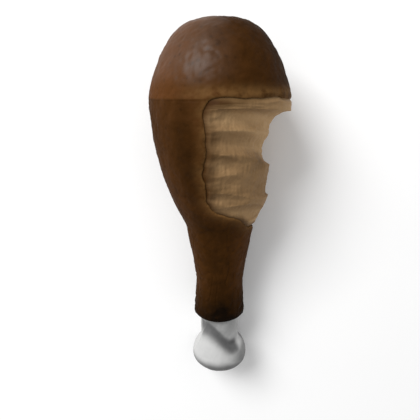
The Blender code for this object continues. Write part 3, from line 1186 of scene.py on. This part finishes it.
    def build(self) -> bpy.types.Object:
        """Builds the piece. Its edges round off by 1 - root(1 - v^2).

        Returns:
            The skin, dressed.
        """
        form, mesh = self.form, self.lattice()
        along, angle = mesh.along, mesh.angle
        radius = form.radius(along, angle)
        smooth = form.points(along, angle, radius)
        distance = np.maximum(self.patch.distance(along, angle, radius), 0.0)
        by_tear = 1.0 - np.minimum(distance / self.tear_rounding, 1.0)
        by_cuff = 1.0 - np.clip((form.cuff_end - along) / self.cuff_rounding, 0.0, 1.0)
        spare = form.skin_thickness - self.lip
        thinning = spare * (1.0 - np.sqrt(1.0 - by_tear * by_tear))
        rounding = spare / 2 * (1.0 - np.sqrt(1.0 - by_cuff * by_cuff))
        relief = np.minimum(self.relief(smooth, along, angle), self.deepest)
        relief = relief * (1.0 - by_tear * by_tear)
        outside = form.sunk(smooth, self.lift * (1.0 - by_tear) + relief + thinning + rounding)
        inside = form.sunk(smooth, form.skin_thickness - rounding)
        points, faces = closed_shell(
            form.laid(outside, 0.0),
            form.laid(inside, form.skin_thickness),
            mesh.faces,
        )
        marks = {
            "browning_and_shade": self.browning_and_shade(smooth, along, angle),
            "fat_and_painted_light": self.fat_and_painted_light(along, angle, distance),
            "greasy": self.greasy(along, angle),
        }
        marks = {name: np.tile(values, 2) for name, values in marks.items()}
        piece = add_piece("skin_browned", points, faces, marks, BrownedSkinFinish().material())
        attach(piece, BODY)
        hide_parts("skin")
        return piece


@dataclass(frozen=True)
class BoneForm:
    """The leg bone: a rounded hidden tip, a shaft that widens at the ankle, and the knob.

    Attributes:
        shaft_radius: radius of the shaft in the open.
        hidden_radius: radius of the shaft inside the meat.
        hidden_tip: station of its upper end.
        tip_length: over how much length that end rounds off.
        widens_from: station where it begins to widen.
        widens_to: station where it is full.
        neck_length: from the start of the neck to the knob's widest ring.
        neck_rise: how much further the neck reaches up the shaft on the left of the shown side.
        rise_start: angle where it begins to.
        rise_width: angle over which it comes to its full reach.
        fall_end: angle where it is back to its usual length.
        fall_width: angle over which it falls back.
        neck_dip: how much shorter the neck is on the right of the shown side.
        dip_angle: angle where it is shortest.
        dip_width: angle over which it comes back to its usual length.
        neck_softness: how softly neck and shaft meet.
        groove: depth of the groove between the knuckles.
        groove_width: its width.
        groove_top: how far towards the shown side it reaches.
        gap: the gap between the bone and its bore in the meat.
    """

    shaft_radius: float = 7.8 * MM
    hidden_radius: float = 5.8 * MM
    hidden_tip: float = -12.0 * MM
    tip_length: float = 7.0 * MM
    widens_from: float = 66.0 * MM
    widens_to: float = 84.0 * MM
    neck_length: float = 10.5 * MM
    neck_rise: float = 10.0 * MM
    rise_start: float = math.radians(50.0)
    rise_width: float = math.radians(80.0)
    fall_end: float = math.radians(165.0)
    fall_width: float = math.radians(30.0)
    neck_dip: float = 2.0 * MM
    dip_angle: float = math.radians(40.0)
    dip_width: float = math.radians(30.0)
    neck_softness: float = 0.5 * MM
    groove: float = 1.2 * MM
    groove_width: float = 3.2 * MM
    groove_top: float = 4.0 * MM
    gap: float = 0.3 * MM

    def tip(self, count: int, gap: float) -> tuple[Array, Array]:
        """Stations and radii of the hidden tip: a quarter of an ellipse.

        Args:
            count: how many rings it has.
            gap: how far outside the bone they lie.

        Returns:
            The stations and the radii, from just off the pole.
        """
        turn = np.linspace(0.0, math.pi / 2, count + 1)[1:]
        along = self.hidden_tip + self.tip_length * (1.0 - np.cos(turn)) - gap * np.cos(turn)
        return along, (self.hidden_radius + gap) * np.sin(turn)

    def reaches(self, angle: Array) -> tuple[Array, Array]:
        """How far up the neck and its crease reach at an angle.

        Args:
            angle: angles, in radians.

        Returns:
            The neck's length, which falls back on the left, and the crease's, which runs on there.
        """
        turned = np.mod(angle, TURN)
        usual = self.neck_length - self.neck_dip * hump(turned, self.dip_angle, self.dip_width)
        risen = self.neck_rise * rise(turned, self.rise_start, self.rise_width)
        return usual + risen * fall(turned, self.fall_end, self.fall_width), usual + risen

    def radius(self, form: LegForm, along: Array, angle: Array) -> Array:
        """Radius past the hidden tip: shaft and knob, flowing into each other.

        The blend is half of s + k + root((s - k)^2 + softness^2) of shaft s and knob k.

        Args:
            form: the leg's form, which has the knob's place and size.
            along: stations.
            angle: angles, in radians.

        Returns:
            The radius at each place.
        """
        widening = rise(along, self.widens_from, self.widens_to - self.widens_from)
        shaft = self.hidden_radius + (self.shaft_radius - self.hidden_radius) * widening
        neck, _ = self.reaches(angle)
        before = (form.knob_centre - along) / neck
        after = (along - form.knob_centre) / form.knob_tip_length
        knob = form.knob_radius * np.sqrt(np.clip(1.0 - np.maximum(before, after) ** 2, 0.0, 1.0))
        blend = (shaft + knob + np.sqrt((shaft - knob) ** 2 + self.neck_softness**2)) / 2
        return np.where(along > form.knob_centre, knob, np.where(along > self.widens_to, blend, shaft))

    def past_crease(self, form: LegForm, along: Array, angle: Array) -> Array:
        """How far a place lies past the crease where the knob's neck meets the shaft.

        The knob is as wide as the shaft where its neck has come the root of 1 - (s / k)^2 of its
        length, for shaft s and knob k.

        Args:
            form: the leg's form.
            along: stations.
            angle: angles, in radians.

        Returns:
            Metres, positive towards the knob.
        """
        share = math.sqrt(1.0 - (self.shaft_radius / form.knob_radius) ** 2)
        _, crease = self.reaches(angle)
        return along - form.knob_centre + crease * share


@dataclass(frozen=True)
class Band:
    """A lighter or darker band across the bite: the meat's own colour, partly with painted light and
    shade on the furrows' walls.

    Attributes:
        row: its row, in millimetres.
        width: how wide it is, in millimetres.
        amount: how much it adds to the tone.
        front: angle towards the bitten side where it fades out, in degrees.
        fade: angle over which it fades, in degrees.
    """

    row: float
    width: float
    amount: float
    front: float = -180.0
    fade: float = 30.0

    def at(self, down: Array, degrees: Array) -> Array:
        """What the band adds, by millimetres down the rows and degrees round the leg: a faded bell."""
        return self.amount * hump(down, self.row, self.width) * rise(degrees, self.front, self.fade)


@dataclass
class Meat:
    """The cooked meat: the layer below the skin, with the bite, round a bore for the bone.

    Attributes:
        form: the leg's form.
        patch: where the skin is torn away.
        bite: the furrows.
        bone: the bone that it goes round.
        rim: share of the patch over which the bite sets in.
        swell_rim: share of the patch over which the meat swells up.
        edge_rim: share of the patch, outside it, over which the meat rises to the tear.
        edge_rise: how much higher the meat lies at the tear than under the skin.
        swell: how much it swells where it is bare.
        left_start: how far left of the patch the bite begins to set in.
        left_fade: angle over which it sets in from there.
        usual_depth: depth that the fine relief goes out from, in millimetres.
        fibres: fibres along the leg, in millimetres.
        scrapes: scrapes along the furrows, in millimetres.
        scrape_squeeze: how much closer the scrapes lie down the leg.
        flecks: torn flecks, in millimetres.
        fleck_width: how far from 0 the flecks' field counts.
        lumps: soft lumps, in millimetres.
        bands: the lighter and darker bands across the bite, partly painted light and shade on the
            furrows' walls.
        hollow: painted shade in the hollow between the two deepest furrows.
        bare_columns: columns across the bare patch.
        bare_margin: how much wider than the patch they reach.
        back_columns: columns over the rest.
        crown_rings: rings over the crown.
        bare_rings: rings down the bare patch.
        shank_rings: rings over the shank.
        bore_rings: rings down the bore.
        tip_rings: rings over the bore's rounded end.
    """

    form: LegForm
    patch: BarePatch
    bite: Bite
    bone: BoneForm
    rim: float = 0.15
    swell_rim: float = 0.07
    edge_rim: float = 0.04
    edge_rise: float = 0.28 * MM
    swell: float = 1.1 * MM
    left_start: float = math.radians(6.0)
    left_fade: float = math.radians(34.0)
    usual_depth: float = 0.12
    fibres: Unevenness = Unevenness(1.5 * MM, 21, 0.05, (1.0, 6.0, 1.0))
    scrapes: Unevenness = Unevenness(7.5 * MM, 22, 0.07)
    scrape_squeeze: float = 5.0
    flecks: Unevenness = Unevenness(2.2 * MM, 23, 0.10)
    fleck_width: float = 0.22
    lumps: Unevenness = Unevenness(6.0 * MM, 24, 0.12)
    bands: tuple[Band, ...] = (
        Band(10.2, 3.4, 0.42),
        Band(14.6, 1.6, 0.12, 62.0),
        Band(18.6, 2.0, 0.14),
        Band(21.7, 1.4, -0.20, 40.0),
        Band(25.0, 2.0, 0.25, 62.0),
        Band(31.5, 2.2, -0.12, 70.0),
        Band(35.7, 1.7, 0.17, 76.0),
        Band(38.5, 1.2, -0.18, 74.0),
        Band(42.5, 3.2, 0.36),
    )
    # Painted shade in the hollow between the two deepest furrows.
    hollow: Spot = Spot(along=22.4, length=2.8, angle=42.0, spread=15.0, amount=-0.34)
    bare_columns: int = 200
    bare_margin: float = 1.05
    back_columns: int = 50
    crown_rings: int = 20
    bare_rings: int = 170
    shank_rings: int = 16
    bore_rings: int = 14
    tip_rings: int = 5

    def columns(self) -> Array:
        """Angles of the columns: close together across the patch, further apart behind.

        Returns:
            The angles, rising.
        """
        reach = self.patch.half_angle * self.bare_margin
        first, last = self.patch.angle - reach, self.patch.angle + reach
        bare = np.linspace(first, last, self.bare_columns)
        rest = np.linspace(last, first + TURN, self.back_columns + 2)[1:-1]
        return np.concatenate([bare, rest])

    def rows(self) -> Array:
        """Rows of the outside, from the crown over the bite to the end of the shank.

        Returns:
            The rows, rising.
        """
        form, bite = self.form, self.bite
        turn = np.linspace(0.0, math.pi / 2, self.crown_rings + 2)[1:-1]
        crown = -(form.crown_height - form.meat_depth) * np.cos(turn) ** (2.0 / form.crown_power)
        return np.concatenate([
            crown[crown < bite.rows_start - 0.2 * MM],
            np.linspace(bite.rows_start, bite.rows_end, self.bare_rings),
            np.linspace(bite.rows_end, form.meat_end, self.shank_rings)[1:],
        ])

    def relief(self, points: Array, row: Array, depth: Array) -> Array:
        """Fine relief of the bare meat.

        Args:
            points: local points of the bitten surface.
            row: rows.
            depth: depth of the bite.

        Returns:
            Fibres along the leg, scrapes along the furrows, torn flecks and lumps, in metres.
        """
        squeezed = np.stack([points[..., 0], self.scrape_squeeze * row, points[..., 2]], axis=-1)
        fine = self.usual_depth + self.fibres.at(points) + self.scrapes.at(squeezed)
        fine = fine + self.flecks.creases(points, self.fleck_width) + self.lumps.at(points)
        return fine * smooth_step(0.5 + depth / MM) * MM

    def tone(self, row: Array, angle: Array, place: Array) -> Array:
        """How light the meat is, with painted light and shade in it.

        Args:
            row: rows.
            angle: angles, in radians.
            place: the place across a furrow, from -1 at its upper edge to 1 at its lower edge.

        Returns:
            About 0 on a furrow's upper wall, as painted shade, and more on its floor, as painted light,
            towards the bitten side and in the lighter bands, where it comes to 1. On the shelf above
            the bite it is darker to the left, and painted shade darkens a seam at its top.
        """
        down, degrees = row / MM, np.degrees(angle)
        # Painted light on the furrows' floors and painted shade on their upper walls.
        floor = hump(place, middle=-0.05, width=0.60)
        to_bite = fall(degrees, end=105.0, length=90.0)
        upper = fall(down, end=25.0, length=8.0)
        bands = sum(band.at(down, degrees) for band in (self.hollow, *self.bands))
        usual = 0.14 + 0.24 * floor + (0.18 + 0.36 * upper) * to_bite + bands
        # The seam at the shelf's top is painted shade under the skin's edge.
        shelf = -0.15 + 1.02 * to_bite - 0.26 * hump(down, middle=-0.2, width=1.5)
        return usual + fall(down, end=9.0, length=5.0) * (shelf - usual)

    def stain_and_shade(self, row: Array, along: Array, angle: Array, reach: Array) -> Array:
        """How brown the meat is where it comes up to the skin, with painted shade below the patch's
        upper edge.

        Args:
            row: rows.
            along: stations.
            angle: angles, in radians.
            reach: where each place lies in the bare patch.

        Returns:
            0 where it is clean and 1 or more where it is brownest: towards the left edge of the
            patch, by its lower edge, and in a line below its upper edge, which is painted shade under
            the skin's lip.
        """
        down = row / MM
        cleaner = hump(down, middle=18.5, width=9.5) + hump(down, middle=36.0, width=4.0)
        cleaner = cleaner - 0.8 * hump(down, middle=16.0, width=3.0)
        turned = np.degrees(angle) - 5.0 * cleaner
        to_left = np.clip(0.40 + 0.036 * (turned - 90.0), 0.0, 1.0)
        # Painted shade in a line just below the skin's upper edge.
        seam = 0.38 * hump(down, middle=0.8, width=1.5) * rise(turned, start=50.0, length=35.0)
        lower = 0.7 * rise(along, start=self.patch.along, length=8.0 * MM)
        return np.maximum(to_left + seam, lower * rise(reach, start=0.80, length=0.20))

    def build(self) -> bpy.types.Object:
        """Builds the piece: the outside down to the meat's end, then the bore back up.

        Returns:
            The meat, dressed.
        """
        form, bone, patch = self.form, self.bone, self.patch
        columns, rows = self.columns(), self.rows()
        bore = np.linspace(form.meat_end - 0.5 * MM, bone.hidden_tip + bone.tip_length, self.bore_rings)
        tip_along, tip_radius = bone.tip(self.tip_rings, bone.gap)
        stations = np.concatenate([rows, bore, tip_along[::-1]])
        top = form.meat_depth - form.crown_height
        mesh = Lattice.woven(stations, columns, top, bone.hidden_tip - bone.gap)
        row, angle = mesh.along, mesh.angle
        outer = np.arange(len(row)) < len(rows) * len(columns)
        outer[TOP_POLE] = True

        along = np.where(outer, self.bite.station(form, row, angle), row)
        reach = patch.reach(along, angle)
        depth, place = self.bite.carve(row, angle)
        left_end = patch.angle + patch.half_angle + self.left_start
        bare = fall(reach, end=1.0, length=self.rim) * fall(angle, end=left_end, length=self.left_fade)
        depth = bare * outer * depth
        swollen = fall(reach, end=1.0, length=self.swell_rim) * outer
        raised = fall(reach, end=1.0 + self.edge_rim, length=self.edge_rim) * outer
        surface = form.radius(along, angle, form.meat_depth) - depth
        surface = surface + self.edge_rise * raised + (self.swell - self.edge_rise) * swollen
        hole = bone.gap + bone.radius(form, along, angle)
        tip = np.repeat(tip_radius[::-1], len(columns))
        hole[TOP_POLE - len(tip):TOP_POLE] = tip
        radius = np.where(outer, surface, hole)
        radius[TOP_POLE:] = 0.0
        smooth = form.points(along, angle, radius)
        sunk = form.sunk(smooth, self.relief(smooth, row, depth) * swollen)
        points = np.where(outer[:, None], form.laid(sunk, form.meat_depth), form.laid(sunk, 0.0))

        marks = {"tone": self.tone(row, angle, place), "stain_and_shade": self.stain_and_shade(row, along, angle, reach)}
        piece = add_piece("meat_bitten", points, mesh.faces, marks, CookedMeatFinish().material())
        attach(piece, BODY)
        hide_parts("meat")
        return piece


@dataclass
class Bone:
    """The leg bone, with its knob in the open.

    Attributes:
        form: the leg's form.
        bone: the bone's form.
        columns: how many columns it has all round.
        tip_rings: rings over the hidden tip.
        hidden_rings: rings over the hidden shaft.
        shaft_rings: rings from there to the knob's widest ring.
        cap_rings: rings over the knob's end.
        hidden_end: station where the rings grow closer.
        lift: how far the surface stays inside its solid.
        usual_depth: depth that the relief goes out from, in millimetres.
        bumps: soft bumps, in millimetres.
        valley_depth: depth of the valley along the crease, in millimetres.
    """

    form: LegForm
    bone: BoneForm
    columns: int = 144
    tip_rings: int = 8
    hidden_rings: int = 20
    shaft_rings: int = 60
    cap_rings: int = 32
    hidden_end: float = 80.0 * MM
    lift: float = 0.06 * MM
    usual_depth: float = 0.05
    bumps: tuple[Unevenness, ...] = (Unevenness(5.0 * MM, 31, 0.04), Unevenness(1.8 * MM, 32, 0.02))
    valley_depth: float = 0.55

    def surface(self) -> tuple[Lattice, Array]:
        """The grid and the smooth form, with the groove between the knuckles.

        Returns:
            The lattice and its local points.
        """
        form, bone = self.form, self.bone
        end = form.knob_centre + form.knob_tip_length
        tip_along, tip_radius = bone.tip(self.tip_rings, 0.0)
        hidden = np.linspace(bone.hidden_tip + bone.tip_length, self.hidden_end, self.hidden_rings)[1:]
        shaft = np.linspace(self.hidden_end, form.knob_centre, self.shaft_rings)[1:]
        turn = np.linspace(0.0, math.pi / 2, self.cap_rings + 2)[1:-1]
        cap = form.knob_centre + form.knob_tip_length * np.sin(turn)
        columns = np.arange(self.columns) * TURN / self.columns
        stations = np.concatenate([tip_along, hidden, shaft, cap])
        mesh = Lattice.woven(stations, columns, bone.hidden_tip, end)
        radius = bone.radius(form, mesh.along, mesh.angle)
        radius[: len(tip_along) * self.columns] = np.repeat(tip_radius, self.columns)
        radius[TOP_POLE:] = 0.0
        points = form.points(mesh.along, mesh.angle, radius)
        past = rise(mesh.along, form.knob_centre, form.knob_tip_length)
        below = fall(points[:, 2], bone.groove_top, 2.0 * bone.groove_top)
        points[:, 1] += bone.groove * past * below * bell(points[:, 0] / bone.groove_width)
        return mesh, points

    def relief(self, points: Array, crease: Array, shown: Array) -> Array:
        """How deep the surface lies under the smooth form: bumps, and the valley along the crease.

        Args:
            points: local points of the smooth form.
            crease: how far past the crease each lies, in millimetres.
            shown: 1 on the shown side and 0 behind.

        Returns:
            The depth in metres.
        """
        bumps = self.usual_depth + sum(waves.at(points) for waves in self.bumps)
        valley = self.valley_depth * hump(crease, middle=-0.4, width=2.4) * shown
        return self.lift + np.maximum(bumps + valley, 0.0) * MM

    def hollow(self, mesh: Lattice, points: Array, crease: Array, shown: Array) -> Array:
        """How much painted shade greys the bone: by the crease, on the shaft, and on the knob's right
        and end.

        Args:
            mesh: the lattice.
            points: local points of the smooth form.
            crease: how far past the crease each lies, in millimetres.
            shown: 1 on the shown side and 0 behind.

        Returns:
            0 where it is pale and 1 where it is grey.
        """
        # Painted shade: the crease, the shaft, the knob's right side and its end are greyed.
        band = bell(crease / np.where(crease > 0.0, 3.6, 3.8)) * shown
        shaft = (0.52 - 0.14 * np.cos(mesh.angle)) * fall(crease, end=-0.5, length=1.5)
        right = rise(points[:, 0] / MM, start=1.0, length=8.0) * rise(crease, start=0.0, length=3.0)
        past = (mesh.along - self.form.knob_centre) / MM
        under = rise(past, start=-3.2, length=5.0)
        return np.maximum.reduce([band, shaft, 0.68 * right, 0.83 * under])

    def build(self) -> bpy.types.Object:
        """Builds the piece.

        Returns:
            The bone, dressed.
        """
        form, (mesh, smooth) = self.form, self.surface()
        crease = self.bone.past_crease(form, mesh.along, mesh.angle) / MM
        degrees = np.degrees(mesh.angle)
        shown = rise(degrees, start=12.0, length=30.0) * fall(degrees, end=195.0, length=45.0)
        lengthwise = -(smooth[:, 1] + form.knob_centre) * (mesh.along > form.knob_centre)
        points = form.laid(moved_in(smooth, lengthwise, self.relief(smooth, crease, shown)), 0.0)
        marks = {
            "hollow": self.hollow(mesh, smooth, crease, shown),
            "meaty": 0.6 * fall(mesh.along / MM, end=87.0, length=3.0),
        }
        piece = add_piece("leg_bone", points, mesh.faces, marks, CleanBoneFinish().material())
        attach(piece, BODY)
        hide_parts("bone")
        return piece


@dataclass
class Studio:
    """The pale floor, the soft light and the camera.

    Attributes:
        form: the leg's form, which the camera is placed by.
        focal_pixels: the camera's focal length, in pixels of the picture.
        camera_height: height of the camera over the leg's axis.
        camera_along: station that it is over.
        pitch: how far it looks down the leg from straight at it.
        leg_offset: how far right of the picture's middle the leg stands, in pixels.
        sensor_width: width of the camera's sensor, in millimetres.
        floor_side: side of the floor.
        floor_gap: how far it lies under the leg.
        key_place: where the light stands.
        key_side: side of its square.
        key_power: its power, in watts.
        sky: strength of the light from all round.
    """

    form: LegForm
    focal_pixels: float = 400.0
    camera_height: float = 147.0 * MM
    camera_along: float = -4.0 * MM
    pitch: float = math.radians(17.0)
    leg_offset: float = 9.4
    sensor_width: float = 36.0
    floor_side: float = 12.0
    floor_gap: float = 0.02 * MM
    key_place: Triple = (-0.53, 0.64, 0.75)
    key_side: float = 0.55
    key_power: float = 11.7
    sky: float = 0.55

    def camera(self) -> bpy.types.Object:
        """Places the camera by leg coordinates, turned a little so that the leg stands off centre.

        Returns:
            The camera.
        """
        data = bpy.data.cameras.new("camera")
        data.sensor_width = self.sensor_width
        data.lens = self.sensor_width * self.focal_pixels / IMAGE_SIDE
        data.clip_start = 10.0 * MM
        sin, cos = math.sin(self.pitch), math.cos(self.pitch)
        eye = np.array([0.0, -self.camera_along, self.camera_height])
        ahead = np.array([0.0, -sin, -cos])
        up = np.array([0.0, cos, -sin])
        yaw = math.atan(self.leg_offset / self.focal_pixels)
        aim = ahead * math.cos(yaw) - np.array([1.0, 0.0, 0.0]) * math.sin(yaw)
        ends = self.form.laid(np.stack([eye, eye + aim, eye + up]), -math.inf)
        forward = Vector(ends[1] - ends[0]).normalized()
        upward = Vector(ends[2] - ends[0]).normalized()
        turn = Matrix((forward.cross(upward), upward, -forward)).transposed().to_4x4()
        camera = bpy.data.objects.new("camera", data)
        camera.matrix_world = Matrix.Translation(Vector(ends[0])) @ turn
        bpy.context.scene.collection.objects.link(camera)
        bpy.context.scene.camera = camera
        return camera

    def key_light(self) -> bpy.types.Object:
        """Adds the soft light, turned to the leg.

        Returns:
            The light.
        """
        data = bpy.data.lights.new("key", "AREA")
        data.shape = "SQUARE"
        data.size = self.key_side
        data.energy = self.key_power
        lamp = bpy.data.objects.new("key", data)
        lamp.location = self.key_place
        lamp.rotation_euler = (-Vector(self.key_place)).to_track_quat("-Z", "Y").to_euler()
        bpy.context.scene.collection.objects.link(lamp)
        return lamp

    def floor(self) -> bpy.types.Object:
        """Lays the pale floor: one square, just under the leg.

        Returns:
            The floor.
        """
        corners = np.array([[-0.5, -0.5, 0.0], [0.5, -0.5, 0.0], [0.5, 0.5, 0.0], [-0.5, 0.5, 0.0]])
        corners = corners * self.floor_side - [0.0, 0.0, self.floor_gap]
        faces = np.array([[0, 1, 2], [0, 2, 3]])
        floor = add_piece("floor", corners, faces, {}, PaleFloorFinish().material())
        return floor

    def world(self) -> None:
        """Sets the white light that comes from all round."""
        world = bpy.data.worlds.new("studio")
        world.use_nodes = True
        back = world.node_tree.nodes["Background"]
        back.inputs["Color"].default_value = (1.0, 1.0, 1.0, 1.0)
        back.inputs["Strength"].default_value = self.sky
        bpy.context.scene.world = world

    def build(self) -> None:
        """Sets the studio up round the leg."""
        bpy.context.scene.view_settings.view_transform = "Standard"
        self.floor()
        self.world()
        self.key_light()
        self.camera()


def report(piece: bpy.types.Object) -> None:
    """Writes a piece's name and its count of faces to the log."""
    LOG.info("%s: %d faces", piece.name, len(piece.data.polygons))


def main() -> None:
    """Builds the leg and the studio."""
    logging.basicConfig(level=logging.INFO, format="%(message)s")
    form, patch, bone = LegForm(), BarePatch(), BoneForm()
    report(Meat(form, patch, Bite(), bone).build())
    report(Skin(form, patch).build())
    report(Bone(form, bone).build())
    Studio(form).build()


if __name__ == "__main__":
    main()
